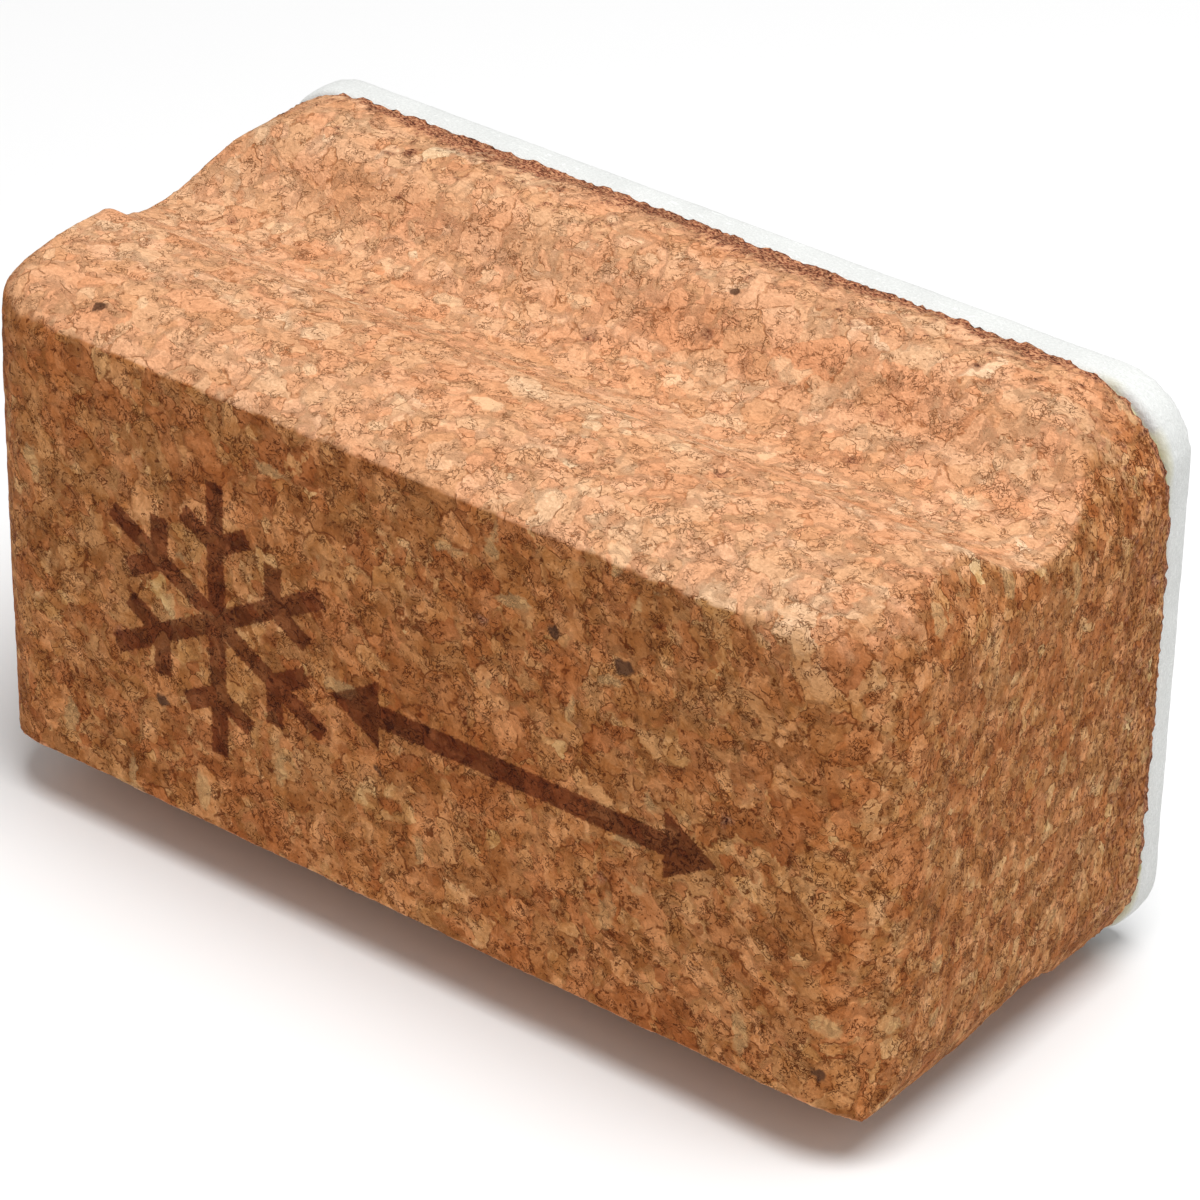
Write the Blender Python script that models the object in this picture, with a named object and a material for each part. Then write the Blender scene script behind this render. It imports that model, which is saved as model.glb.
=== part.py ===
"""Polishing cork for ski wax: a pressed-cork hand block with a finger groove along its
top and its underside, and a felt pad bonded to its back.

Frame: metres, +X along the block, +Y from the bare cork face to the felt, +Z up.
The block stands on its lower grooved side; the origin is the middle of its footprint.
"""
from math import asin, atan2, cos, pi, sin, sqrt

import bmesh
import bpy

# Driving dimensions.
LENGTH = 0.100
HEIGHT = 0.058
CORK_DEPTH = 0.042
FILM_THICKNESS = 0.0003
PAD_THICKNESS = 0.0033
JOINT_GAP = 0.0003

# The grooved sides, from the front face back: a crowned nose, a low land, a round finger
# groove and a high land next to the pad. Drops are below the high land.
FRONT_EDGE_DROP = 0.0066
FRONT_LAND_DROP = 0.0034
NOSE_RUN = 0.0097
GROOVE_FROM_FRONT = 0.0241
GROOVE_RADIUS = 0.0100
GROOVE_DEPTH = 0.0075
FRONT_SHOULDER_RADIUS = 0.0045
BACK_SHOULDER_RADIUS = 0.0076

# Rounded corners: the ends seen from the front, and the upright front edges from above.
END_CORNER_RADIUS = 0.0114
FRONT_EDGE_RADIUS = 0.0078
FILM_CORNER_RADIUS = 0.0108
PAD_CORNER_RADIUS = 0.0073

PAD_INSET = 0.0008
FILM_INSET = 0.0012

ARC_STEP = pi / 30
CUTTER_MARGIN = 0.005

TOTAL_DEPTH = CORK_DEPTH + JOINT_GAP + FILM_THICKNESS + JOINT_GAP + PAD_THICKNESS
FRONT_Y = -TOTAL_DEPTH / 2
CORK_BACK_Y = FRONT_Y + CORK_DEPTH
FILM_Y = CORK_BACK_Y + JOINT_GAP
PAD_Y = FILM_Y + FILM_THICKNESS + JOINT_GAP

CORK_COLOUR = (0.42, 0.19, 0.09, 1)
GLUE_COLOUR = (0.55, 0.50, 0.27, 1)
FELT_COLOUR = (0.80, 0.80, 0.76, 1)


def clear_scene():
    for item in list(bpy.data.objects):
        bpy.data.objects.remove(item, do_unlink=True)


def make_material(name, colour, roughness):
    material = bpy.data.materials.new(name)
    material.use_nodes = True
    shader = material.node_tree.nodes["Principled BSDF"]
    shader.inputs["Base Color"].default_value = colour
    shader.inputs["Roughness"].default_value = roughness
    shader.inputs["Metallic"].default_value = 0
    return material


def arc(centre, radius, start, end):
    """Points from angle start to angle end round a centre, both ends included."""
    steps = max(2, round(abs(end - start) / ARC_STEP))
    angles = [start + (end - start) * i / steps for i in range(steps + 1)]
    return [(centre[0] + radius * cos(a), centre[1] + radius * sin(a)) for a in angles]


def rounded_rectangle(low, high, low_radius, high_radius):
    """Outline with one corner radius at the second axis' low end and one at its high end."""
    corners = [
        ((high[0] - high_radius, high[1] - high_radius), high_radius, 0),
        ((low[0] + high_radius, high[1] - high_radius), high_radius, pi / 2),
        ((low[0] + low_radius, low[1] + low_radius), low_radius, pi),
        ((high[0] - low_radius, low[1] + low_radius), low_radius, 3 * pi / 2),
    ]
    outline = []
    for centre, radius, start in corners:
        if radius > 0:
            outline += arc(centre, radius, start, start + pi / 2)
        else:
            outline.append(centre)
    return outline


def shoulder(land_drop, radius):
    """How far a rounded shoulder starts from the groove's middle, and its slope angle."""
    rise = GROOVE_RADIUS - GROOVE_DEPTH + land_drop + radius
    reach = sqrt((GROOVE_RADIUS + radius) ** 2 - rise**2)
    return reach, atan2(rise, reach)


def top_side():
    """The upper grooved side as (y, z) points, from the front face to the back."""
    nose_drop = FRONT_EDGE_DROP - FRONT_LAND_DROP
    nose_radius = (NOSE_RUN**2 + nose_drop**2) / (2 * nose_drop)
    land_z = HEIGHT - FRONT_LAND_DROP
    nose_start = pi / 2 + asin(NOSE_RUN / nose_radius)
    side = arc((FRONT_Y + NOSE_RUN, land_z - nose_radius), nose_radius, nose_start, pi / 2)

    groove = (FRONT_Y + GROOVE_FROM_FRONT, HEIGHT + GROOVE_RADIUS - GROOVE_DEPTH)
    reach, front_slope = shoulder(FRONT_LAND_DROP, FRONT_SHOULDER_RADIUS)
    centre = (groove[0] - reach, land_z - FRONT_SHOULDER_RADIUS)
    side += arc(centre, FRONT_SHOULDER_RADIUS, pi / 2, front_slope)

    reach, back_slope = shoulder(0, BACK_SHOULDER_RADIUS)
    side += arc(groove, GROOVE_RADIUS, pi + front_slope, 2 * pi - back_slope)[1:]
    centre = (groove[0] + reach, HEIGHT - BACK_SHOULDER_RADIUS)
    side += arc(centre, BACK_SHOULDER_RADIUS, pi - back_slope, pi / 2)[1:]
    side.append((CORK_BACK_Y, HEIGHT))
    return side


def grooved_outline():
    """The block's whole cross-section: the top side and its mirror image underneath."""
    top = top_side()
    underside = [(y, HEIGHT - z) for y, z in reversed(top)]
    return top + underside


def extrude_outline(name, points, depth):
    """A closed prism of 3-D outline points swept along the vector depth."""
    mesh = bpy.data.meshes.new(name)
    body = bmesh.new()
    face = body.faces.new([body.verts.new(point) for point in points])
    swept = bmesh.ops.extrude_face_region(body, geom=[face])
    new_verts = [item for item in swept["geom"] if isinstance(item, bmesh.types.BMVert)]
    bmesh.ops.translate(body, verts=new_verts, vec=depth)
    bmesh.ops.recalc_face_normals(body, faces=body.faces)
    body.to_mesh(mesh)
    body.free()
    return mesh


def place(name, mesh, material=None):
    item = bpy.data.objects.new(name, mesh)
    bpy.context.collection.objects.link(item)
    if material:
        mesh.materials.append(material)
        mesh.shade_smooth()
        mesh.set_sharp_from_angle(angle=pi / 6)
    return item


def place_cutter(name, points, depth):
    cutter = place(name, extrude_outline(name, points, depth))
    cutter.hide_render = True
    cutter.display_type = "WIRE"
    return cutter


def keep_inside(item, cutter):
    """Cut away whatever of the item lies outside the cutter."""
    cut = item.modifiers.new("keep_inside_" + cutter.name, "BOOLEAN")
    cut.operation = "INTERSECT"
    cut.solver = "EXACT"
    cut.object = cutter


def make_cork_block(material):
    section = [(-LENGTH / 2, y, z) for y, z in grooved_outline()]
    block = place("cork_block", extrude_outline("cork_block", section, (LENGTH, 0, 0)), material)

    ends = rounded_rectangle(
        (-LENGTH / 2, 0), (LENGTH / 2, HEIGHT), END_CORNER_RADIUS, END_CORNER_RADIUS
    )
    start_y = FRONT_Y - CUTTER_MARGIN
    end_points = [(x, start_y, z) for x, z in ends]
    end_sweep = (0, CORK_DEPTH + 2 * CUTTER_MARGIN, 0)
    keep_inside(block, place_cutter("end_form", end_points, end_sweep))

    plan = rounded_rectangle(
        (-LENGTH / 2, FRONT_Y), (LENGTH / 2, CORK_BACK_Y + CUTTER_MARGIN), FRONT_EDGE_RADIUS, 0
    )
    plan_points = [(x, y, -CUTTER_MARGIN) for x, y in plan]
    plan_sweep = (0, 0, HEIGHT + 2 * CUTTER_MARGIN)
    keep_inside(block, place_cutter("plan_form", plan_points, plan_sweep))


def make_layer(name, inset, corner_radius, start_y, thickness, material):
    """A flat layer behind the cork, set in from the block's outline all round."""
    low = (-LENGTH / 2 + inset, inset)
    high = (LENGTH / 2 - inset, HEIGHT - inset)
    outline = rounded_rectangle(low, high, corner_radius, corner_radius)
    points = [(x, start_y, z) for x, z in outline]
    place(name, extrude_outline(name, points, (0, thickness, 0)), material)


def main():
    clear_scene()
    cork = make_material("cork", CORK_COLOUR, 0.8)
    glue = make_material("glue", GLUE_COLOUR, 0.35)
    felt = make_material("felt", FELT_COLOUR, 0.95)
    make_cork_block(cork)
    make_layer("glue_film", FILM_INSET, FILM_CORNER_RADIUS, FILM_Y, FILM_THICKNESS, glue)
    make_layer("felt_pad", PAD_INSET, PAD_CORNER_RADIUS, PAD_Y, PAD_THICKNESS, felt)


main()
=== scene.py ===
"""Looks of the polishing cork for ski wax: pressed-cork block, glue line and felt pad.

Metres in the part's own frame: +X along the block, +Y from the bare cork face to the
felt, +Z up. Sizes named ..._MM, and all coordinates inside the materials, are millimetres.
"""
from math import cos, pi, radians, sin
from types import SimpleNamespace
from typing import NamedTuple

import bmesh
import bpy
import numpy as np
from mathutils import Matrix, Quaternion, Vector, noise


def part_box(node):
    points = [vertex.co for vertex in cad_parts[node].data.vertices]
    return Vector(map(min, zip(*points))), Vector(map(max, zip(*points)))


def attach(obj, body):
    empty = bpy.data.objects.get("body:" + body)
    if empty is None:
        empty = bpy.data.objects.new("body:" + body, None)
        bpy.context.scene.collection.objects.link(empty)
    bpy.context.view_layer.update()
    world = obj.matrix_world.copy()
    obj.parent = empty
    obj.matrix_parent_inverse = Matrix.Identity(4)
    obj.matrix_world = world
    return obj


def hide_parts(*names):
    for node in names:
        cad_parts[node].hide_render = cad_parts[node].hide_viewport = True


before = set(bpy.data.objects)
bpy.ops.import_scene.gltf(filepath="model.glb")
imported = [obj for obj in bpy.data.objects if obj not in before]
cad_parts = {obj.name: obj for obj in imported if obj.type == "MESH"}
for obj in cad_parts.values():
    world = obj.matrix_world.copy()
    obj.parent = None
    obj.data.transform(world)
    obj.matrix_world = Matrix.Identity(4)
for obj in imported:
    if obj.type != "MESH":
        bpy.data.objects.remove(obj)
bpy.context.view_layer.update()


class Pattern(NamedTuple):
    """A noise pattern: cycles per mm, detail, roughness, and a stretch for each axis."""
    scale: float
    detail: float = 2
    roughness: float = 0.5
    stretch: tuple = (1, 1, 1)


MM = 0.001
CORK_LOW, CORK_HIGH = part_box("cork_block")
PAD_LOW, PAD_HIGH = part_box("felt_pad")
MIDDLE_Z = (CORK_LOW.z + CORK_HIGH.z) / 2
HALF_HEIGHT = CORK_HIGH.z - MIDDLE_Z
# The radius of the cork's outline where it meets the felt.
CORK_END_RADIUS = 0.0114
# The felt soaks up the glue, so it shows from just behind the cork.
FELT_START_Y = CORK_HIGH.y + 0.00025

# Camera: where it looks, and from where.
CAMERA_TARGET = Vector((0.0038, 0, MIDDLE_Z + 0.0004))
CAMERA_DISTANCE = 0.4721
CAMERA_AZIMUTH = radians(37.48)
CAMERA_ELEVATION = radians(31.55)
CAMERA_ROLL = radians(1.04)
CAMERA_LENS = 160.96
SENSOR_WIDTH = 36

# Stage.
FLOOR_HALF_SIZE = 1.5
FLOOR_COLOUR = (0.86, 0.86, 0.86, 1)
FLOOR_ROUGHNESS = 0.9
WORLD_STRENGTH = 0.40
# The lamp shines at the origin.
LAMP_PLACE = Vector((0.22, -0.08, 0.9))
LAMP_SIZE = 0.60
LAMP_WATTS = 8.7

# Dense meshes.
CORK_VOXEL = 0.00042
PAD_VOXEL = 0.0005
MERGE_DISTANCE = 1e-6
SMOOTHING = 0.6
CORK_SMOOTHING_ROUNDS = 1
PAD_SMOOTHING_ROUNDS = 6

# The sanded upper front corners: rounds of smoothing, and how far they reach.
CORNER_ROUNDS = 40
CORNER_LENGTH = 0.013
CORNER_DEPTH = 0.010
# Shares of the length and depth where the smoothing starts to fade, and where it ends on
# the grooved side.
CORNER_FULL_LENGTH = 0.4
CORNER_FULL_DEPTH = 0.5
CORNER_SIDE_REACH = 1.6
# The corner at the +X end is sanded rounder, and the milled tone, with its painted sheen, fades out
# over it into the painted shade of the face.
WORN_CORNER_ROUNDS = 45
WORN_CORNER_LENGTH = 0.0155
WORN_CORNER_DEPTH = 0.0115
TONE_FADE_ROUNDS = 100

# Without a seed of its own, noise_vector takes its offsets from the clock.
NOISE_SEED = 1

# Relief of the cork. Granules are flat discs pressed along Y. Seam width and pit radius
# are shares of a cell, and a spread makes a random number of a cell's centre.
GRANULE_MM = 2.3
GRANULE_FLATNESS = 1.3
GRANULE_SPREAD = 7.3
GRANULE_RELIEF_MM = 0.035
WARP_MM = 0.7
SEAM_WIDTH = 0.18
SEAM_DEPTH_MM = 0.06
WAVE_MM = 9
WAVE_RELIEF_MM = 0.10
FINE_PER_MM = 1.9
FINE_RELIEF_MM = 0.03
PIT_SPACING_MM = 7.0
PIT_WARP_PER_MM = 1.3
PIT_WARP_MM = 0.4
PIT_SPREAD = 5.1
PIT_LEVEL = -0.1
PIT_RADIUS = 0.10
PIT_DEPTH_MM = 0.45

# The crumbled edge next to the felt. It is widest on the upper side, away from the ends.
TORN_WIDTH_MM = 3.4
TORN_WIDTH_ELSEWHERE = 0.35
TORN_WIDTH_WANDER = 0.8
TORN_WANDER_MM = 13
TORN_TOP_FROM = 0.004
TORN_TOP_TO = 0.001
TORN_END_FROM = 0.014
TORN_END_TO = 0.006
TORN_PATCH_MM = 6
TORN_PATCH_SHIFT = Vector((3, 1, 7))
TORN_PATCH_STEP = (-0.75, -0.40)
TORN_EDGE_STEP = (0.15, 0.45)
CRUMBS_PER_MM = 1.5
CRUMB_SHIFT = Vector((9, 4, 2))
CRUMB_HEIGHT_MM = 0.24
CRUMB_EDGE_WANDER = 0.7
BITES_PER_MM = 0.75
BITE_ROUGHNESS = 0.8
BITE_OCTAVES = 2
BITE_STEP = (-0.3, 0.6)
BITE_LEAST = 0.3
BITE_DEPTH_MM = 0.22
LACUNARITY = 2.1

# Where the cork is freshly milled or sawn across, as steps in the parts of its normal. These steps
# also place painted light: a painted sheen on the milled sides, and painted shade on the sawn face
# and ends.
MILLED_ABOVE = (0.25, 0.60)
MILLED_BELOW = (0.38, 0.66)
MILLED_ROUND_ENDS = (0.2, 1.0)
MILLED_EDGE_WANDER = 0.35
MILLED_WANDER_PER_MM = 0.45
MILLED_WANDER_ROUGHNESS = 0.7
MILLED_WANDER_OCTAVES = 3
SAWN_END_STEP = (0.5, 0.9)

# Generic printed mark on the bare face: a snow crystal and a rubbing arrow.
CRYSTAL_CENTRE_MM = (-20.7, 28.6)
CRYSTAL_RADIUS_MM = 14.0
ARM_ANGLE = pi / 3
ARM_HALF_WIDTH_MM = 1.0
BRANCH_START_MM = 7.6
BRANCH_LENGTH_MM = 4.4
ARROW_CENTRE_MM = (13.2, 26.3)
ARROW_HALF_LENGTH_MM = 21.0
ARROW_HALF_WIDTH_MM = 1.2
ARROW_HEAD_MM = 5.6
ARROW_HEAD_SLOPE = 0.62
ARROW_OVERLAP_MM = 0.5
PRINT_TINT = (0.345, 0.21, 0.16)
PRINT_STRENGTH = 0.94
PRINT_BREAKUP_MM = 0.9
PRINT_EDGE_STEP = (-0.10, 0.12)
PRINT_DEPTH_STEP = (CORK_LOW.y / MM + 0.6, CORK_LOW.y / MM + 1.2, 1.0, 0.0)

# Colours of the cork. A tint multiplies a colour.
GRANULE_TONES = [
    (0.00, (0.560, 0.262, 0.127)),
    (0.20, (0.605, 0.292, 0.143)),
    (0.42, (0.628, 0.312, 0.158)),
    (0.64, (0.645, 0.333, 0.172)),
    (0.86, (0.665, 0.360, 0.192)),
    (0.975, (0.690, 0.395, 0.215)),
    (1.00, (0.715, 0.470, 0.265)),
]
NO_TINT = (1, 1, 1)
RUSSET_TINT = (1.03, 0.96, 0.93)
OLIVE_TINT = (0.98, 1.03, 1.00)
SALMON_TINT = (0.98, 0.93, 0.90)
CREAM_TINT = (1.02, 1.06, 1.08)
SHADY_TINT = (0.79, 0.73, 0.69)
PALE_TINT = (1.13, 1.20, 1.38)
# The sawn face and ends are richer and darker in tone than the freshly milled grooved sides. This is
# partly the cork's own tone and partly painted light: painted shade on the upright face and ends, and
# a painted pale sheen on the milled sides, as under the overhead lamp.
FACE_TONE_AND_SHADE = (0.820, 0.645, 0.400)
END_TONE_AND_SHADE = (0.860, 0.725, 0.490)
MILLED_TONE_AND_SHEEN = (1.19, 1.24, 1.32)
FACE_CRACK_COLOUR = (0.110, 0.024, 0.002)
MILLED_CRACK_COLOUR = (0.230, 0.078, 0.027)
# Dark places in cork are redder than pale ones: each channel's power about the middle tone.
MIDDLE_TONE = (0.64, 0.32, 0.165)
DEEPENING = (1.00, 1.13, 1.27)
BARK_COLOUR = (0.100, 0.042, 0.022)
STRAW_COLOUR = (0.70, 0.44, 0.195)
STRAW_LINE_COLOUR = (0.50, 0.26, 0.11)
MILLED_STRAW_COLOUR = (0.93, 0.59, 0.34)
TORN_TONES = [
    (0.38, (0.085, 0.030, 0.018)),
    (0.48, (0.330, 0.110, 0.055)),
    (0.60, (0.640, 0.310, 0.160)),
]

# Patterns in the cork. A step or shade is the start and end of a value, then what they become.
BIG_GRANULE_MM = 3.7
SMALL_GRANULE_MM = 1.6
# Noises that shake the granules' outlines: cycles per mm, and reach in mm.
COARSE_SHAKE = (0.38, 2.4)
FINE_SHAKE = (1.7, 0.8)
FINENESS = Pattern(0.30)
FINENESS_STEP = (0.48, 0.58)
FINER_ON_ENDS = 0.10
HUE_STEP = (0.25, 0.75)
GRANULE_SHADE = (0.0, 1.0, 0.86, 1.12)
MILLED_CALM = 0.35
GRAIN = Pattern(1.4, 3, 0.6, (0.35, 1.6, 2.4))
GRAIN_SHADE = (0.30, 0.70, 0.86, 1.12)
STREAKS = Pattern(1.1, 5, 0.7, (0.7, 0.9, 0.7))
STREAK_SHADE = (0.34, 0.66, 0.92, 1.07)
GRIT = Pattern(2.9, 4, 0.62, (1, 1.7, 1))
GRIT_SHADE = (0.32, 0.66, 0.92, 1.05)
BANDS = Pattern(0.16, 3, 0.5, (0.30, 2.2, 0.30))
BANDS_STEP = (0.36, 0.64)
MOTTLE = Pattern(0.45, 5, 0.62)
MOTTLE_STEP = (0.36, 0.64)

# Dark openings. Higher noise means more of them.
BROKEN_SEAMS = Pattern(0.8, 3)
BROKEN_SEAMS_STEP = (0.44, 0.60)
SEAM_STEP = (0.0, 0.05, 0.8, 0.0)
LONG_CURLS = Pattern(0.50, 3, 0.55)
LONG_CURL_WIDTH = 0.014
SHORT_CURLS = Pattern(1.1, 3, 0.55)
SHORT_CURL_WIDTH = 0.022
CURL_PATCHES = Pattern(0.55, 3, 0.6)
CURL_PATCHES_STEP = (0.44, 0.60)
PORES = Pattern(1.6, 3, 0.62, (1, 1.8, 1))
PORES_STEP = (0.625, 0.700, 0.0, 0.85)
FEWER_MILLED_PORES = 0.05
# The ends have more pores, most of all beside the felt.
MORE_END_PORES = (4.0, CORK_HIGH.y / MM, 0.035, 0.100)
GAPS = Pattern(0.62, 5, 0.75)
GAPS_STEP = (0.60, 0.67, 0.0, 0.9)
FEWER_MILLED_GAPS = 0.07
CRACK_STRENGTH = 0.90
MILLED_CRACK_STRENGTH = 0.78

# Specks of bark and slivers of straw-coloured cork: which cells have one, and its edge.
BARK_SPACING_MM = 9.0
BARK_CHOICE = (0.60, 0.62)
BARK_EDGE = (0.07, 0.11, 0.9, 0.0)
STRAW_SPACING_MM = 4.6
STRAW_STRETCHES = ((1.0, 0.8, 0.42), (0.42, 0.8, 1.0))
STRAW_CHOICE = (0.80, 0.82)
STRAW_EDGE = (0.20, 0.26, 0.65, 0.0)
STRAW_RAGGEDNESS = 0.10
STRAW_LINES_STEP = (0.35, 0.65)

CORK_ROUGHNESS = (0.3, 0.7, 0.85, 0.68)
CORK_SPECULAR = 0.08
CORK_BUMP_MM = 0.18
CORK_BUMP_STRENGTH = 0.9
GRIT_HEIGHT = 0.9
GRAIN_HEIGHT = 0.5

# Felt. Waves are rows of a height and a size in mm.
FELT_WAVES_MM = ((0.06, 6), (0.035, 0.9))
FELT_GRAIN = Pattern(3.2, 5, 0.65, (1, 2.2, 1))
FIBRE_DIRECTIONS = (12, 68, 118, 160)
FIBRES = Pattern(1.7, 3, 0.6, (0.22, 1.6, 2.6))
FIBRE_SHAKE = (0.25, 3.0)
FIBRES_STEP = (0.52, 0.68, 0.0, 0.72)
FELT_TONES = [
    (0.30, (0.65, 0.66, 0.64)),
    (0.50, (0.73, 0.74, 0.72)),
    (0.72, (0.82, 0.83, 0.81)),
]
FELT_CLOUDS = Pattern(0.12, 3)
FELT_CLOUD_SHADE = (0.3, 0.7, 0.93, 1.0)
STAIN_COLOUR = (0.62, 0.58, 0.33)
STAIN_STRENGTH = 0.75
STAIN_DEPTH_STEP = (FELT_START_Y / MM + 0.1, FELT_START_Y / MM + 1.0, 1.0, 0.0)
STAIN_END_STEP = (CORK_HIGH.x / MM - 12, CORK_HIGH.x / MM - 3)
STAIN_PATCHES = Pattern(0.16)
STAIN_PATCHES_STEP = (0.38, 0.60)
FELT_ROUGHNESS = (0.3, 0.7, 0.97, 0.85)
FELT_SPECULAR = 0.2
FELT_SHEEN = 0.15
FELT_SHEEN_ROUGHNESS = 0.5
FELT_BUMP_MM = 0.12
FELT_BUMP_STRENGTH = 0.7

# Glue. Its rim is a row of points for each inset in mm and share of the joint's depth.
GLUE_RIM = [(0.45, 0.02), (0.10, 0.22), (0.0, 0.5), (0.10, 0.78), (0.45, 0.98)]
GLUE_RIM_POINTS = 360
GLUE_INSET_MM = 0.95
GLUE_END_SPREAD_MM = 0.45
GLUE_END_ZONE = 0.012
# Rows of a height and a size in mm, and a slice of the noise.
GLUE_WANDER = ((0.30, 2.5, 0), (0.12, 0.8, 5))
GLUE_CLOUDS = Pattern(0.5, 3)
GLUE_TONES = [(0.35, (0.42, 0.34, 0.14)), (0.65, (0.66, 0.60, 0.34))]
GLUE_ROUGHNESS = (0.3, 0.7, 0.35, 0.60)
GLUE_RIPPLES = Pattern(2.0, 3)
GLUE_BUMP_MM = 0.1
GLUE_BUMP_STRENGTH = 0.5


# ---------------------------------------------------------------- meshes

def link(name, data):
    item = bpy.data.objects.new(name, data)
    bpy.context.scene.collection.objects.link(item)
    return item


def to_mesh(body, name):
    mesh = bpy.data.meshes.new(name)
    body.to_mesh(mesh)
    body.free()
    return mesh


def dense_copy(cad_node, name, voxel):
    """A copy of a CAD node's solid with an even mesh of small faces."""
    body = bmesh.new()
    body.from_mesh(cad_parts[cad_node].data)
    bmesh.ops.remove_doubles(body, verts=body.verts, dist=MERGE_DISTANCE)
    piece = link(name, to_mesh(body, name))
    remesh = piece.modifiers.new("voxels", "REMESH")
    remesh.mode = "VOXEL"
    remesh.voxel_size = voxel
    graph = bpy.context.evaluated_depsgraph_get()
    dense = bpy.data.meshes.new_from_object(piece.evaluated_get(graph))
    piece.modifiers.clear()
    piece.data = dense
    dense.materials.clear()
    dense.shade_smooth()
    return piece


def read_vectors(collection, key):
    values = np.empty(len(collection) * 3, np.float32)
    collection.foreach_get(key, values)
    return values.reshape(-1, 3).astype(float)


def get_points(mesh):
    return read_vectors(mesh.vertices, "co")


def get_normals(mesh):
    return read_vectors(mesh.vertex_normals, "vector")


def set_points(mesh, points):
    mesh.vertices.foreach_set("co", points.astype(np.float32).ravel())
    mesh.update()


def store_values(mesh, name, values):
    attribute = mesh.attributes.new(name, "FLOAT", "POINT")
    attribute.data.foreach_set("value", values.astype(np.float32))


def relax(mesh, rows, rounds, weights):
    """Move each point's row of numbers towards its neighbours' mean, by the point's weight."""
    ends = np.empty(len(mesh.edges) * 2, np.int32)
    mesh.edges.foreach_get("vertices", ends)
    first, second = ends.reshape(-1, 2).T
    count = np.bincount(ends, minlength=len(rows))
    for _ in range(rounds):
        mean = np.empty_like(rows)
        for column in range(rows.shape[1]):
            values = rows[:, column]
            sums = np.bincount(first, values[second], len(rows))
            sums += np.bincount(second, values[first], len(rows))
            mean[:, column] = sums / count
        rows = rows + (mean - rows) * weights[:, None]
    return rows


def smooth(mesh, points, rounds):
    return relax(mesh, points, rounds, np.full(len(points), SMOOTHING))


def fade(values, start, end):
    """Smooth step from 0 at start to 1 at end."""
    share = np.clip((values - start) / (end - start), 0, 1)
    return share * share * (3 - 2 * share)


def rounded_box_distance(along, up, half_along, half_up, radius):
    """Distance outside the outline of a rounded rectangle, negative inside."""
    u = np.abs(along) - half_along + radius
    v = np.abs(up) - half_up + radius
    outside = np.hypot(np.maximum(u, 0), np.maximum(v, 0))
    return outside + np.minimum(np.maximum(u, v), 0) - radius


# ---------------------------------------------------------------- cork block

def corner_weights(points, length, depth):
    """Where the sanded upper front corners are rounder than a plain mitre."""
    from_end = CORK_HIGH.x - np.abs(points[:, 0])
    from_front = points[:, 1] - CORK_LOW.y
    from_side = HALF_HEIGHT - np.abs(points[:, 2] - MIDDLE_Z)
    weight = 1 - fade(from_end, length * CORNER_FULL_LENGTH, length)
    weight *= 1 - fade(from_front, depth * CORNER_FULL_DEPTH, depth)
    weight *= 1 - fade(from_side, depth, depth * CORNER_SIDE_REACH)
    return weight * (points[:, 2] > MIDDLE_Z)


def granule_relief(place):
    """Height of the pressed granules, and of the seams between them, at a place in mm."""
    warped = place + noise.noise_vector(place / (2 * WARP_MM)) * WARP_MM
    warped.y *= GRANULE_FLATNESS
    distances, centres = noise.voronoi(warped / GRANULE_MM)
    seam = distances[1] - distances[0]
    height = noise.cell(centres[0] * GRANULE_SPREAD) * GRANULE_RELIEF_MM
    return height - SEAM_DEPTH_MM * max(0, 1 - seam / SEAM_WIDTH)


def pit_strength(place):
    """1 at the middle of a scattered pit, where a bit of bark has dropped out, else 0."""
    warped = place + noise.noise_vector(place * PIT_WARP_PER_MM) * PIT_WARP_MM
    distances, centres = noise.voronoi(warped / PIT_SPACING_MM)
    wanted = noise.cell(centres[0] * PIT_SPREAD) > PIT_LEVEL
    return max(0, 1 - distances[0] / PIT_RADIUS) if wanted else 0


def edge_distance(points):
    """Distance in mm from the cork's edge next to the felt, and 1 on the upper side, 0 below."""
    up = points[:, 2] - MIDDLE_Z
    outline = rounded_box_distance(points[:, 0], up, CORK_HIGH.x, HALF_HEIGHT, CORK_END_RADIUS)
    from_edge = np.maximum(CORK_HIGH.y - points[:, 1], -outline)
    on_top = fade(points[:, 2], CORK_HIGH.z - TORN_TOP_FROM, CORK_HIGH.z - TORN_TOP_TO)
    along = np.abs(points[:, 0])
    on_top *= 1 - fade(along, CORK_HIGH.x - TORN_END_FROM, CORK_HIGH.x - TORN_END_TO)
    return from_edge / MM, on_top


def torn_edge(place, from_edge, on_top):
    """Height, in mm, and strength of the band of torn crumbs beside the felt."""
    if from_edge > 2 * TORN_WIDTH_MM:
        return 0, 0
    width = TORN_WIDTH_MM * (TORN_WIDTH_ELSEWHERE + (1 - TORN_WIDTH_ELSEWHERE) * on_top)
    width *= 1 + TORN_WIDTH_WANDER * noise.noise(place / TORN_WANDER_MM)
    closeness = 1 - fade(from_edge, 0, width)
    torn = fade(noise.noise(place / TORN_PATCH_MM + TORN_PATCH_SHIFT), *TORN_PATCH_STEP)
    bites = noise.fractal(place * BITES_PER_MM, BITE_ROUGHNESS, LACUNARITY, BITE_OCTAVES)
    bites = BITE_LEAST + fade(bites, *BITE_STEP)
    crumbs = noise.noise(place * CRUMBS_PER_MM + CRUMB_SHIFT)
    strength = torn * fade(closeness + CRUMB_EDGE_WANDER * crumbs, *TORN_EDGE_STEP)
    height = CRUMB_HEIGHT_MM * crumbs - BITE_DEPTH_MM * bites * closeness
    return height * strength, strength


def milled_wander(point):
    place = Vector(point) * MILLED_WANDER_PER_MM
    return noise.fractal(place, MILLED_WANDER_ROUGHNESS, LACUNARITY, MILLED_WANDER_OCTAVES)


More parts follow.
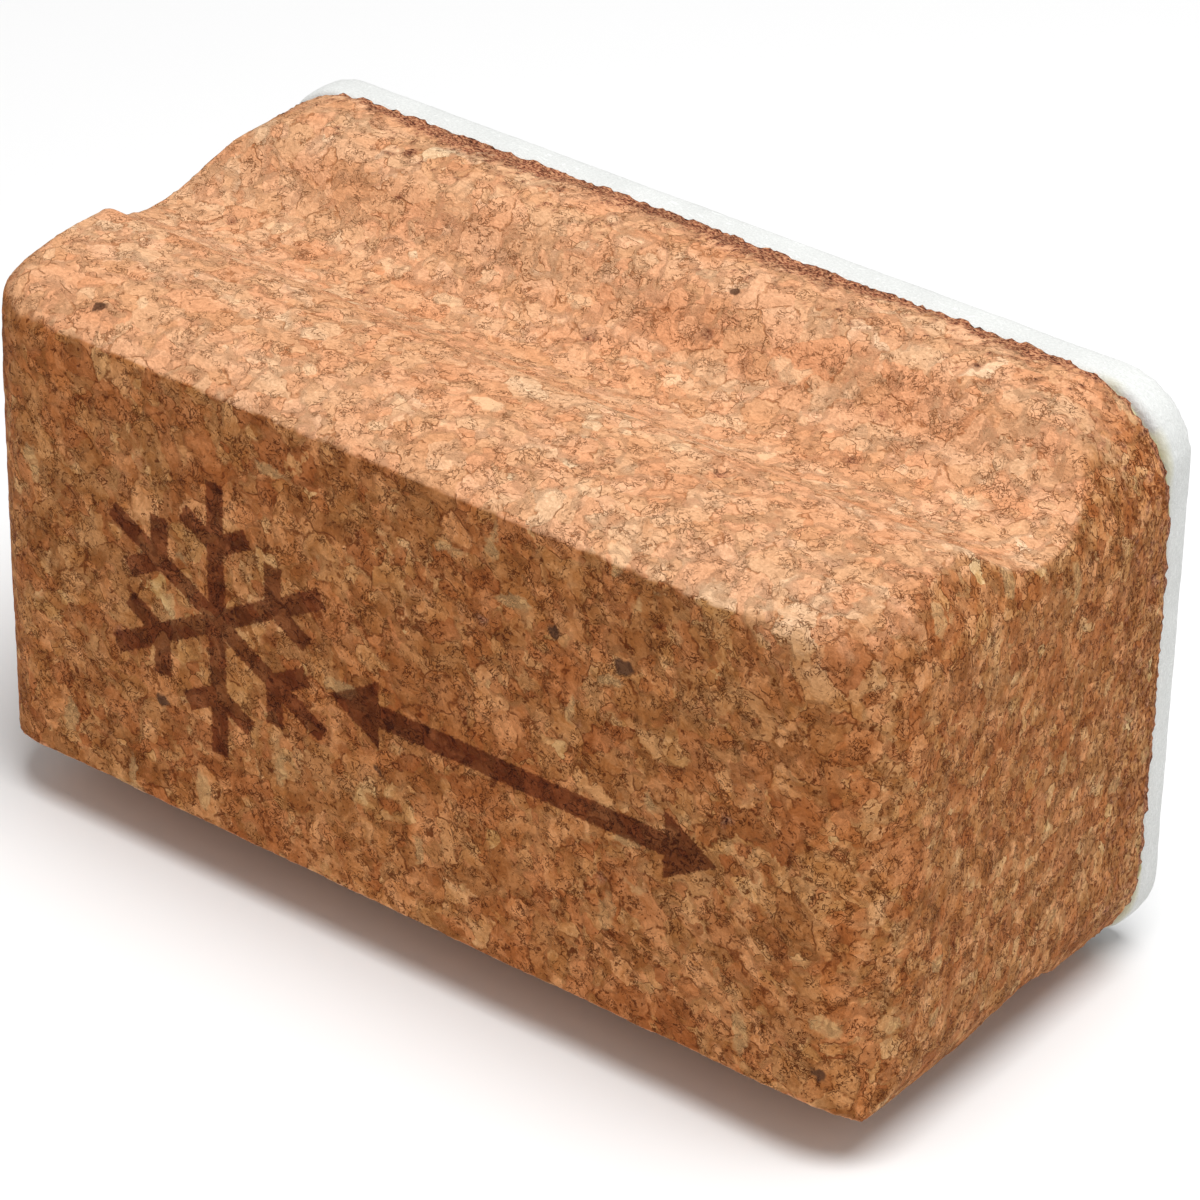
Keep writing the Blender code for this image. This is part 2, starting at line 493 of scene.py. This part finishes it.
def milled_share(points, normals):
    """1 on the freshly milled upper and lower sides, fading out round the ends. It also places the
    painted sheen of the milled sides, and where it is 0, the painted shade of the upright faces.
    """
    along, _, up = normals.T
    ragged = np.array([milled_wander(point) for point in points / MM])
    upper = up + MILLED_EDGE_WANDER * ragged * (1 - np.abs(up))
    share = np.where(up > 0, fade(upper, *MILLED_ABOVE), fade(-up, *MILLED_BELOW))
    return share * (1 - fade(np.abs(along), *MILLED_ROUND_ENDS))


def round_corners(mesh):
    """Sand the upper front corners round. Returns the points, and where the worn corner is."""
    points = smooth(mesh, get_points(mesh), CORK_SMOOTHING_ROUNDS)
    weights = corner_weights(points, CORNER_LENGTH, CORNER_DEPTH)
    points = relax(mesh, points, CORNER_ROUNDS, weights)
    worn = corner_weights(points, WORN_CORNER_LENGTH, WORN_CORNER_DEPTH) * (points[:, 0] > 0)
    points = relax(mesh, points, WORN_CORNER_ROUNDS, worn)
    set_points(mesh, points)
    return points, worn


def cork_lift(place, from_edge, on_top):
    """Height in mm above the smooth block, and wear from 0 to 1, at a place in mm."""
    pit = pit_strength(place)
    torn_height, torn = torn_edge(place, from_edge, on_top)
    height = granule_relief(place) - PIT_DEPTH_MM * pit + torn_height
    height += WAVE_RELIEF_MM * noise.noise(place / WAVE_MM)
    height += FINE_RELIEF_MM * noise.noise(place * FINE_PER_MM)
    return height, max(min(1, 2 * pit), torn)


def add_cork_relief(mesh):
    points, worn = round_corners(mesh)
    normals = get_normals(mesh)
    milled = relax(mesh, milled_share(points, normals)[:, None], TONE_FADE_ROUNDS, worn)
    store_values(mesh, "milled", milled[:, 0])
    store_values(mesh, "sawn_end", fade(np.abs(normals[:, 0]), *SAWN_END_STEP))
    rows = zip(points / MM, *edge_distance(points))
    lift, wear = np.array([cork_lift(Vector(point), *edge) for point, *edge in rows]).T
    points += normals * lift[:, None] * MM
    points[:, 2] = np.maximum(points[:, 2], CORK_LOW.z)
    set_points(mesh, points)
    store_values(mesh, "wear", wear)


# ---------------------------------------------------------------- shader helpers

def make_material(name):
    """A material with an empty tree but for its Principled shader and output."""
    material = bpy.data.materials.new(name)
    material.use_nodes = True
    return material, material.node_tree, material.node_tree.nodes["Principled BSDF"]


def feed(tree, socket, value):
    """Give a socket a number, a colour or another node's output."""
    if isinstance(value, bpy.types.NodeSocket):
        tree.links.new(value, socket)
    else:
        socket.default_value = value


def node(tree, kind, inputs, **settings):
    new = tree.nodes.new(kind)
    for key, value in settings.items():
        setattr(new, key, value)
    for key, value in inputs.items():
        feed(tree, new.inputs[key], value)
    return new


def scalar_math(tree, operation, *values):
    return node(tree, "ShaderNodeMath", dict(enumerate(values)), operation=operation).outputs[0]


def total(tree, first, second):
    return scalar_math(tree, "ADD", first, second)


def difference(tree, first, second):
    return scalar_math(tree, "SUBTRACT", first, second)


def product(tree, first, second):
    return scalar_math(tree, "MULTIPLY", first, second)


def larger(tree, first, second):
    return scalar_math(tree, "MAXIMUM", first, second)


def smaller(tree, first, second):
    return scalar_math(tree, "MINIMUM", first, second)


def vector_math(tree, operation, *values):
    return node(tree, "ShaderNodeVectorMath", dict(enumerate(values)), operation=operation).outputs[0]


def stretched(tree, place, factors):
    return vector_math(tree, "MULTIPLY", place, factors)


def turned(tree, place, angle):
    """The place turned about Y, the axis along which the granules and felt are pressed."""
    inputs = {"Vector": place, "Angle": angle}
    return node(tree, "ShaderNodeVectorRotate", inputs, rotation_type="Y_AXIS").outputs[0]


def noise_texture(tree, place, pattern):
    if pattern.stretch != (1, 1, 1):
        place = stretched(tree, place, pattern.stretch)
    inputs = {"Vector": place, "Scale": pattern.scale, "Detail": pattern.detail}
    inputs["Roughness"] = pattern.roughness
    return node(tree, "ShaderNodeTexNoise", inputs).outputs


def noise_level(tree, place, pattern):
    return noise_texture(tree, place, pattern)["Fac"]


def cells(tree, place, scale, feature="F1"):
    inputs = {"Vector": place, "Scale": scale}
    return node(tree, "ShaderNodeTexVoronoi", inputs, feature=feature).outputs


def step(tree, value, start, end, low=0.0, high=1.0):
    """A smooth step in a value, from low at start to high at end."""
    inputs = {"Value": value, "From Min": start, "From Max": end, "To Min": low, "To Max": high}
    settings = {"interpolation_type": "SMOOTHSTEP"}
    return node(tree, "ShaderNodeMapRange", inputs, **settings).outputs["Result"]


def noise_step(tree, place, pattern, stops):
    return step(tree, noise_level(tree, place, pattern), *stops)


def ramp(tree, factor, stops):
    """A colour ramp through (position, colour) stops."""
    new = node(tree, "ShaderNodeValToRGB", {"Fac": factor})
    elements = new.color_ramp.elements
    while len(elements) < len(stops):
        elements.new(0.5)
    for element, (position, colour) in zip(elements, stops):
        element.position = position
        element.color = (*colour, 1)
    return new.outputs["Color"]


def blend(tree, factor, first, second):
    """The number that is a factor of the way from the first to the second."""
    return node(tree, "ShaderNodeMix", {0: factor, 2: first, 3: second}).outputs[0]


def mix(tree, factor, first, second, blend_type="MIX"):
    """The colour that is a factor of the way from the first to the second."""
    new = node(tree, "ShaderNodeMix", {}, data_type="RGBA", blend_type=blend_type)
    feed(tree, new.inputs[0], factor)
    for socket, colour in ((6, first), (7, second)):
        feed(tree, new.inputs[socket], (*colour, 1) if isinstance(colour, tuple) else colour)
    return new.outputs[2]


def tinted(tree, colour, tint):
    """The colour times a tint, which is a colour or a grey level."""
    return mix(tree, 1.0, colour, tint, "MULTIPLY")


def object_place(tree):
    """The surface point in millimetres."""
    place = node(tree, "ShaderNodeTexCoord", {}).outputs["Object"]
    new = node(tree, "ShaderNodeVectorMath", {0: place, "Scale": 1 / MM}, operation="SCALE")
    return new.outputs[0]


def stored_value(tree, name):
    return node(tree, "ShaderNodeAttribute", {}, attribute_name=name).outputs["Fac"]


def parts(tree, vector):
    """The three numbers of a place or a colour."""
    outputs = node(tree, "ShaderNodeSeparateXYZ", {0: vector}).outputs
    return outputs[0], outputs[1], outputs[2]


def shaken(tree, place, *shakes):
    """The place moved about by noises, each up to about half its reach in mm, less along Y."""
    moved = place
    for scale, reach in shakes:
        wander = noise_texture(tree, place, Pattern(scale))["Color"]
        centred = vector_math(tree, "SUBTRACT", wander, (0.5, 0.5, 0.5))
        offset = stretched(tree, centred, (reach, reach / GRANULE_FLATNESS, reach))
        moved = vector_math(tree, "ADD", moved, offset)
    return moved


def add_bump(tree, shader, height, distance_mm, strength):
    inputs = {"Height": height, "Distance": distance_mm * MM, "Strength": strength}
    tree.links.new(node(tree, "ShaderNodeBump", inputs).outputs[0], shader.inputs["Normal"])


# ---------------------------------------------------------------- cork material

def cork_fields(tree):
    """The values that the layers of the cork share: places in mm, stored values and grit."""
    place = object_place(tree)
    warped = shaken(tree, place, COARSE_SHAKE, FINE_SHAKE)
    return SimpleNamespace(
        place=place,
        warped=warped,
        flat=stretched(tree, warped, (1, GRANULE_FLATNESS, 1)),
        milled=stored_value(tree, "milled"),
        sawn_end=stored_value(tree, "sawn_end"),
        wear=stored_value(tree, "wear"),
        grit=noise_level(tree, place, GRIT),
    )


def granule_layer(tree, flat, size):
    """Random numbers of each granule, and the distance to its seam, for one granule size."""
    inner = cells(tree, flat, 1 / size)
    seam = cells(tree, flat, 1 / size, "DISTANCE_TO_EDGE")["Distance"]
    return parts(tree, inner["Color"]), seam


def granules(tree, cork):
    """Colour of the granules, a direction for the growth lines in each, and the seams."""
    big, big_seam = granule_layer(tree, cork.flat, BIG_GRANULE_MM)
    small, small_seam = granule_layer(tree, cork.flat, SMALL_GRANULE_MM)
    fineness = noise_level(tree, cork.place, FINENESS)
    fineness = total(tree, fineness, product(tree, cork.sawn_end, FINER_ON_ENDS))
    where_small = step(tree, fineness, *FINENESS_STEP)
    tone, turn, hue = (blend(tree, where_small, *pair) for pair in zip(big, small))
    seam = blend(tree, where_small, big_seam, small_seam)
    tint = mix(tree, step(tree, hue, *HUE_STEP), RUSSET_TINT, OLIVE_TINT)
    shade = blend(tree, cork.milled, step(tree, tone, *GRANULE_SHADE), 1.0)
    colour = tinted(tree, ramp(tree, tone, GRANULE_TONES), tinted(tree, tint, shade))
    calm = product(tree, cork.milled, MILLED_CALM)
    return mix(tree, calm, colour, MIDDLE_TONE), turn, seam


def grain_lines(tree, flat, turn):
    """Fine growth lines inside each granule, in a direction of the granule's own."""
    return noise_level(tree, turned(tree, flat, product(tree, turn, 2 * pi)), GRAIN)


def shaded(tree, cork, colour, lines):
    """The granules' colour with growth lines, streaks, grit, bands and mottling."""
    colour = tinted(tree, colour, step(tree, lines, *GRAIN_SHADE))
    colour = tinted(tree, colour, noise_step(tree, cork.flat, STREAKS, STREAK_SHADE))
    colour = tinted(tree, colour, step(tree, cork.grit, *GRIT_SHADE))
    bands = noise_step(tree, cork.warped, BANDS, BANDS_STEP)
    colour = tinted(tree, colour, mix(tree, bands, SALMON_TINT, CREAM_TINT))
    mottle = noise_step(tree, cork.flat, MOTTLE, MOTTLE_STEP)
    mottle = mix(tree, mottle, SHADY_TINT, PALE_TINT)
    return tinted(tree, colour, mix(tree, cork.milled, mottle, NO_TINT))


def curl_lines(tree, flat, pattern, width):
    """Thin curling lines: where a noise passes through its middle value."""
    level = difference(tree, noise_level(tree, flat, pattern), 0.5)
    return step(tree, scalar_math(tree, "ABSOLUTE", level), 0, width, 1.0, 0.0)


def crack_lines(tree, cork, seam):
    """Open seams and curling cracks, both in patches."""
    broken = noise_step(tree, cork.place, BROKEN_SEAMS, BROKEN_SEAMS_STEP)
    seams = product(tree, step(tree, seam, *SEAM_STEP), broken)
    long_curls = curl_lines(tree, cork.flat, LONG_CURLS, LONG_CURL_WIDTH)
    short_curls = curl_lines(tree, cork.flat, SHORT_CURLS, SHORT_CURL_WIDTH)
    patches = noise_step(tree, cork.place, CURL_PATCHES, CURL_PATCHES_STEP)
    return larger(tree, seams, product(tree, larger(tree, long_curls, short_curls), patches))


def pores_and_gaps(tree, cork):
    """Small pores, and larger gaps between granules."""
    pore = noise_level(tree, cork.place, PORES)
    pore = difference(tree, pore, product(tree, cork.milled, FEWER_MILLED_PORES))
    more = step(tree, parts(tree, cork.place)[1], *MORE_END_PORES)
    pore = total(tree, pore, product(tree, cork.sawn_end, more))
    gap = noise_level(tree, cork.flat, GAPS)
    gap = difference(tree, gap, product(tree, cork.milled, FEWER_MILLED_GAPS))
    return larger(tree, step(tree, pore, *PORES_STEP), step(tree, gap, *GAPS_STEP))


def crack_layer(tree, cork, seam):
    """How dark a point is: open seams, curling cracks, pores and gaps."""
    opened = larger(tree, crack_lines(tree, cork, seam), pores_and_gaps(tree, cork))
    strength = blend(tree, cork.milled, CRACK_STRENGTH, MILLED_CRACK_STRENGTH)
    return product(tree, opened, strength)


def deepened(tree, colour):
    """The colour with its green and blue falling off faster than red towards the dark."""
    levels = {}
    for i, level in enumerate(parts(tree, colour)):
        share = scalar_math(tree, "DIVIDE", level, MIDDLE_TONE[i])
        share = scalar_math(tree, "POWER", share, DEEPENING[i])
        levels[i] = product(tree, share, MIDDLE_TONE[i])
    return node(tree, "ShaderNodeCombineColor", levels).outputs[0]


def bark_layer(tree, flat):
    """Rare specks of dark bark."""
    speck = cells(tree, flat, 1 / BARK_SPACING_MM)
    chosen = step(tree, parts(tree, speck["Color"])[0], *BARK_CHOICE)
    return product(tree, step(tree, speck["Distance"], *BARK_EDGE), chosen)


def straw_layer(tree, flat, lines, stretch):
    """Sparse slivers of pale, stringy cork, drawn out along one axis."""
    sliver = cells(tree, stretched(tree, flat, stretch), 1 / STRAW_SPACING_MM)
    ragged = total(tree, sliver["Distance"], product(tree, lines, STRAW_RAGGEDNESS))
    chosen = step(tree, parts(tree, sliver["Color"])[1], *STRAW_CHOICE)
    return product(tree, step(tree, ragged, *STRAW_EDGE), chosen)


def with_flecks(tree, cork, colour, lines):
    """The colour with slivers of straw-coloured cork, specks of bark and torn places."""
    straw = mix(tree, step(tree, lines, *STRAW_LINES_STEP), STRAW_LINE_COLOUR, STRAW_COLOUR)
    straw = mix(tree, cork.milled, straw, MILLED_STRAW_COLOUR)
    for stretch in STRAW_STRETCHES:
        colour = mix(tree, straw_layer(tree, cork.flat, lines, stretch), colour, straw)
    colour = mix(tree, bark_layer(tree, cork.flat), colour, BARK_COLOUR)
    return mix(tree, cork.wear, colour, ramp(tree, cork.grit, TORN_TONES))


def crystal_mask(tree, x, z):
    """Distance inside a six-armed snow crystal, in mm, negative outside."""
    u = difference(tree, x, CRYSTAL_CENTRE_MM[0])
    v = difference(tree, z, CRYSTAL_CENTRE_MM[1])
    radius = scalar_math(tree, "SQRT", total(tree, product(tree, u, u), product(tree, v, v)))
    angle = total(tree, scalar_math(tree, "ARCTAN2", u, v), 2 * pi)
    from_arm = scalar_math(tree, "PINGPONG", angle, ARM_ANGLE / 2)
    along = product(tree, radius, scalar_math(tree, "COSINE", from_arm))
    across = product(tree, radius, scalar_math(tree, "SINE", from_arm))
    to_tip = difference(tree, CRYSTAL_RADIUS_MM, along)
    arm = smaller(tree, difference(tree, ARM_HALF_WIDTH_MM, across), to_tip)
    return larger(tree, arm, branch_mask(tree, along, across))


def branch_mask(tree, along, across):
    """Distance inside the side branch of a crystal's arm, in mm, negative outside."""
    ahead = difference(tree, along, BRANCH_START_MM)
    rise = product(tree, across, sin(ARM_ANGLE))
    forward = total(tree, product(tree, ahead, cos(ARM_ANGLE)), rise)
    run = product(tree, across, cos(ARM_ANGLE))
    sideways = difference(tree, product(tree, ahead, sin(ARM_ANGLE)), run)
    to_side = difference(tree, ARM_HALF_WIDTH_MM, scalar_math(tree, "ABSOLUTE", sideways))
    return smaller(tree, to_side, difference(tree, BRANCH_LENGTH_MM, forward))


def arrow_mask(tree, x, z):
    """Distance inside a double-headed arrow, in mm, negative outside."""
    u = scalar_math(tree, "ABSOLUTE", difference(tree, x, ARROW_CENTRE_MM[0]))
    v = scalar_math(tree, "ABSOLUTE", difference(tree, z, ARROW_CENTRE_MM[1]))
    head_start = ARROW_HALF_LENGTH_MM - ARROW_HEAD_MM
    to_bar_end = difference(tree, head_start + ARROW_OVERLAP_MM, u)
    bar = smaller(tree, difference(tree, ARROW_HALF_WIDTH_MM, v), to_bar_end)
    slope = product(tree, difference(tree, ARROW_HALF_LENGTH_MM, u), ARROW_HEAD_SLOPE)
    head = smaller(tree, difference(tree, slope, v), difference(tree, u, head_start))
    return larger(tree, bar, head)


def print_mask(tree, cork):
    """Where the bare face carries ink, with an edge that the cork's grit breaks up."""
    x, y, z = parts(tree, cork.place)
    shape = larger(tree, crystal_mask(tree, x, z), arrow_mask(tree, x, z))
    breakup = product(tree, difference(tree, cork.grit, 0.5), PRINT_BREAKUP_MM)
    inside = step(tree, total(tree, shape, breakup), *PRINT_EDGE_STEP)
    return product(tree, inside, step(tree, y, *PRINT_DEPTH_STEP))


def make_cork_material():
    material, tree, shader = make_material("pressed_cork")
    cork = cork_fields(tree)
    colour, turn, seam = granules(tree, cork)
    lines = grain_lines(tree, cork.flat, turn)
    colour = shaded(tree, cork, colour, lines)
    dark = crack_layer(tree, cork, seam)
    colour = mix(tree, dark, colour, mix(tree, cork.milled, FACE_CRACK_COLOUR, MILLED_CRACK_COLOUR))
    # Painted light as well as the cork's own tone: the face and end tints darken the upright faces as
    # painted shade, and the milled tint makes the milled sides paler as a painted sheen.
    sawn_tone_and_shade = mix(tree, cork.sawn_end, FACE_TONE_AND_SHADE, END_TONE_AND_SHADE)
    side_tone_and_painted_light = mix(tree, cork.milled, sawn_tone_and_shade, MILLED_TONE_AND_SHEEN)
    colour = tinted(tree, deepened(tree, colour), side_tone_and_painted_light)
    colour = with_flecks(tree, cork, colour, lines)
    printed = product(tree, print_mask(tree, cork), PRINT_STRENGTH)
    colour = mix(tree, printed, colour, tinted(tree, colour, PRINT_TINT))
    feed(tree, shader.inputs["Base Color"], colour)
    feed(tree, shader.inputs["Roughness"], step(tree, cork.grit, *CORK_ROUGHNESS))
    shader.inputs["Specular IOR Level"].default_value = CORK_SPECULAR
    height = difference(tree, product(tree, cork.grit, GRIT_HEIGHT), dark)
    height = total(tree, height, product(tree, lines, GRAIN_HEIGHT))
    add_bump(tree, shader, height, CORK_BUMP_MM, CORK_BUMP_STRENGTH)
    return material


# ---------------------------------------------------------------- felt

def add_felt_relief(mesh):
    points = smooth(mesh, get_points(mesh), PAD_SMOOTHING_ROUNDS)
    to_joint = (PAD_HIGH.y - FELT_START_Y) / (PAD_HIGH.y - PAD_LOW.y)
    points[:, 1] = PAD_HIGH.y - (PAD_HIGH.y - points[:, 1]) * to_joint
    set_points(mesh, points)
    lift = np.zeros(len(points))
    for height, size in FELT_WAVES_MM:
        lift += [height * noise.noise(Vector(point) / size) for point in points / MM]
    set_points(mesh, points + get_normals(mesh) * lift[:, None] * MM)


def fibre_layer(tree, place, degrees):
    """Fine fibres that lie in the felt's face in about one direction."""
    bent = shaken(tree, place, FIBRE_SHAKE)
    return noise_step(tree, turned(tree, bent, radians(degrees)), FIBRES, FIBRES_STEP)


def stain_mask(tree, place):
    """Where the felt has soaked up glue: in patches beside the joint, at the +X end."""
    x, y, _ = parts(tree, place)
    at_end = step(tree, x, *STAIN_END_STEP)
    patches = noise_step(tree, place, STAIN_PATCHES, STAIN_PATCHES_STEP)
    return product(tree, step(tree, y, *STAIN_DEPTH_STEP), product(tree, at_end, patches))


def make_felt_material():
    material, tree, shader = make_material("pressed_felt")
    place = object_place(tree)
    fibres = noise_level(tree, place, FELT_GRAIN)
    for degrees in FIBRE_DIRECTIONS:
        fibres = larger(tree, fibres, fibre_layer(tree, place, degrees))
    clouds = noise_step(tree, place, FELT_CLOUDS, FELT_CLOUD_SHADE)
    colour = tinted(tree, ramp(tree, fibres, FELT_TONES), clouds)
    stain = product(tree, stain_mask(tree, place), STAIN_STRENGTH)
    feed(tree, shader.inputs["Base Color"], mix(tree, stain, colour, STAIN_COLOUR))
    feed(tree, shader.inputs["Roughness"], step(tree, fibres, *FELT_ROUGHNESS))
    shader.inputs["Specular IOR Level"].default_value = FELT_SPECULAR
    shader.inputs["Sheen Weight"].default_value = FELT_SHEEN
    shader.inputs["Sheen Roughness"].default_value = FELT_SHEEN_ROUGHNESS
    add_bump(tree, shader, fibres, FELT_BUMP_MM, FELT_BUMP_STRENGTH)
    return material


# ---------------------------------------------------------------- glue

def rim_point(share, inset):
    """X, and Z from the middle, a share of the way round the cork's back, moved in by inset."""
    inner = (CORK_HIGH.x - CORK_END_RADIUS, HALF_HEIGHT - CORK_END_RADIUS)
    arc = pi / 2 * CORK_END_RADIUS
    run = share * 4 * (inner[0] + inner[1] + arc)
    for quarter in range(4):
        ahead, aside = inner if quarter % 2 == 0 else reversed(inner)
        heading = quarter * pi / 2
        out = np.array((cos(heading), sin(heading)))
        way = np.array((-out[1], out[0]))
        if run <= 2 * aside:
            return out * (ahead + CORK_END_RADIUS - inset) + way * (run - aside)
        run -= 2 * aside
        if run <= arc:
            bend = heading + run / CORK_END_RADIUS
            reach = CORK_END_RADIUS - inset
            return out * ahead + way * aside + np.array((cos(bend), sin(bend))) * reach
        run -= arc
    return rim_point(0, inset)


def add_rim_row(body, inset, depth):
    """One closed row of points round the glue's rim, wandering as squeezed-out glue does."""
    y = CORK_HIGH.y + depth * (FELT_START_Y - CORK_HIGH.y)
    row = []
    for i in range(GLUE_RIM_POINTS):
        share = i / GLUE_RIM_POINTS
        x, z = rim_point(share, 0)
        at_end = fade(abs(x), CORK_HIGH.x - GLUE_END_ZONE, CORK_HIGH.x)
        whole_inset = GLUE_INSET_MM - GLUE_END_SPREAD_MM * at_end + inset
        for height, size, level in GLUE_WANDER:
            whole_inset += height * noise.noise(Vector((x, z, level)) / MM / size)
        x, z = rim_point(share, whole_inset * MM)
        row.append(body.verts.new((x, y, MIDDLE_Z + z)))
    return row


def make_glue_mesh():
    """The squeezed-out glue: a closed slab with a rounded rim that fills the joint."""
    body = bmesh.new()
    rows = [add_rim_row(body, inset, depth) for inset, depth in GLUE_RIM]
    for lower, upper in zip(rows, rows[1:]):
        for i in range(GLUE_RIM_POINTS):
            j = (i + 1) % GLUE_RIM_POINTS
            body.faces.new((lower[i], lower[j], upper[j], upper[i]))
    body.faces.new(rows[0])
    body.faces.new(rows[-1])
    bmesh.ops.recalc_face_normals(body, faces=body.faces)
    mesh = to_mesh(body, "glue_line")
    mesh.shade_smooth()
    return mesh


def make_glue_material():
    material, tree, shader = make_material("cured_glue")
    place = object_place(tree)
    clouds = noise_level(tree, place, GLUE_CLOUDS)
    feed(tree, shader.inputs["Base Color"], ramp(tree, clouds, GLUE_TONES))
    feed(tree, shader.inputs["Roughness"], step(tree, clouds, *GLUE_ROUGHNESS))
    ripples = noise_level(tree, place, GLUE_RIPPLES)
    add_bump(tree, shader, ripples, GLUE_BUMP_MM, GLUE_BUMP_STRENGTH)
    return material


# ---------------------------------------------------------------- pieces

def finish_piece(piece, material, replaced):
    piece.data.materials.append(material)
    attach(piece, "root")
    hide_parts(replaced)


def build_pieces():
    cork = dense_copy("cork_block", "pressed_cork_block", CORK_VOXEL)
    add_cork_relief(cork.data)
    finish_piece(cork, make_cork_material(), "cork_block")

    glue = link("glue_line", make_glue_mesh())
    finish_piece(glue, make_glue_material(), "glue_film")

    felt = dense_copy("felt_pad", "felt_polishing_pad", PAD_VOXEL)
    add_felt_relief(felt.data)
    finish_piece(felt, make_felt_material(), "felt_pad")


# ---------------------------------------------------------------- stage

def make_floor():
    half = FLOOR_HALF_SIZE
    corners = [(-half, -half, 0), (half, -half, 0), (half, half, 0), (-half, half, 0)]
    mesh = bpy.data.meshes.new("floor")
    mesh.from_pydata(corners, [], [(0, 1, 2, 3)])
    floor = link("floor", mesh)
    material, _, shader = make_material("pale_floor")
    shader.inputs["Base Color"].default_value = FLOOR_COLOUR
    shader.inputs["Roughness"].default_value = FLOOR_ROUGHNESS
    mesh.materials.append(material)


def make_lights():
    world = bpy.data.worlds.new("studio")
    world.use_nodes = True
    background = world.node_tree.nodes["Background"]
    background.inputs["Color"].default_value = (1, 1, 1, 1)
    background.inputs["Strength"].default_value = WORLD_STRENGTH
    bpy.context.scene.world = world

    light = bpy.data.lights.new("overhead", "AREA")
    light.shape = "DISK"
    light.size = LAMP_SIZE
    light.energy = LAMP_WATTS
    lamp = link("overhead", light)
    lamp.location = LAMP_PLACE
    lamp.rotation_euler = (-LAMP_PLACE).to_track_quat("-Z", "Y").to_euler()


def make_camera():
    data = bpy.data.cameras.new("camera")
    data.sensor_width = SENSOR_WIDTH
    data.lens = CAMERA_LENS
    camera = link("camera", data)
    view = Vector((
        -sin(CAMERA_AZIMUTH) * cos(CAMERA_ELEVATION),
        cos(CAMERA_AZIMUTH) * cos(CAMERA_ELEVATION),
        -sin(CAMERA_ELEVATION),
    ))
    camera.location = CAMERA_TARGET - view * CAMERA_DISTANCE
    turn = view.to_track_quat("-Z", "Y") @ Quaternion((0, 0, 1), CAMERA_ROLL)
    camera.rotation_mode = "QUATERNION"
    camera.rotation_quaternion = turn
    bpy.context.scene.camera = camera


noise.seed_set(NOISE_SEED)
bpy.context.scene.view_settings.view_transform = "Standard"
make_camera()
build_pieces()
make_floor()
make_lights()
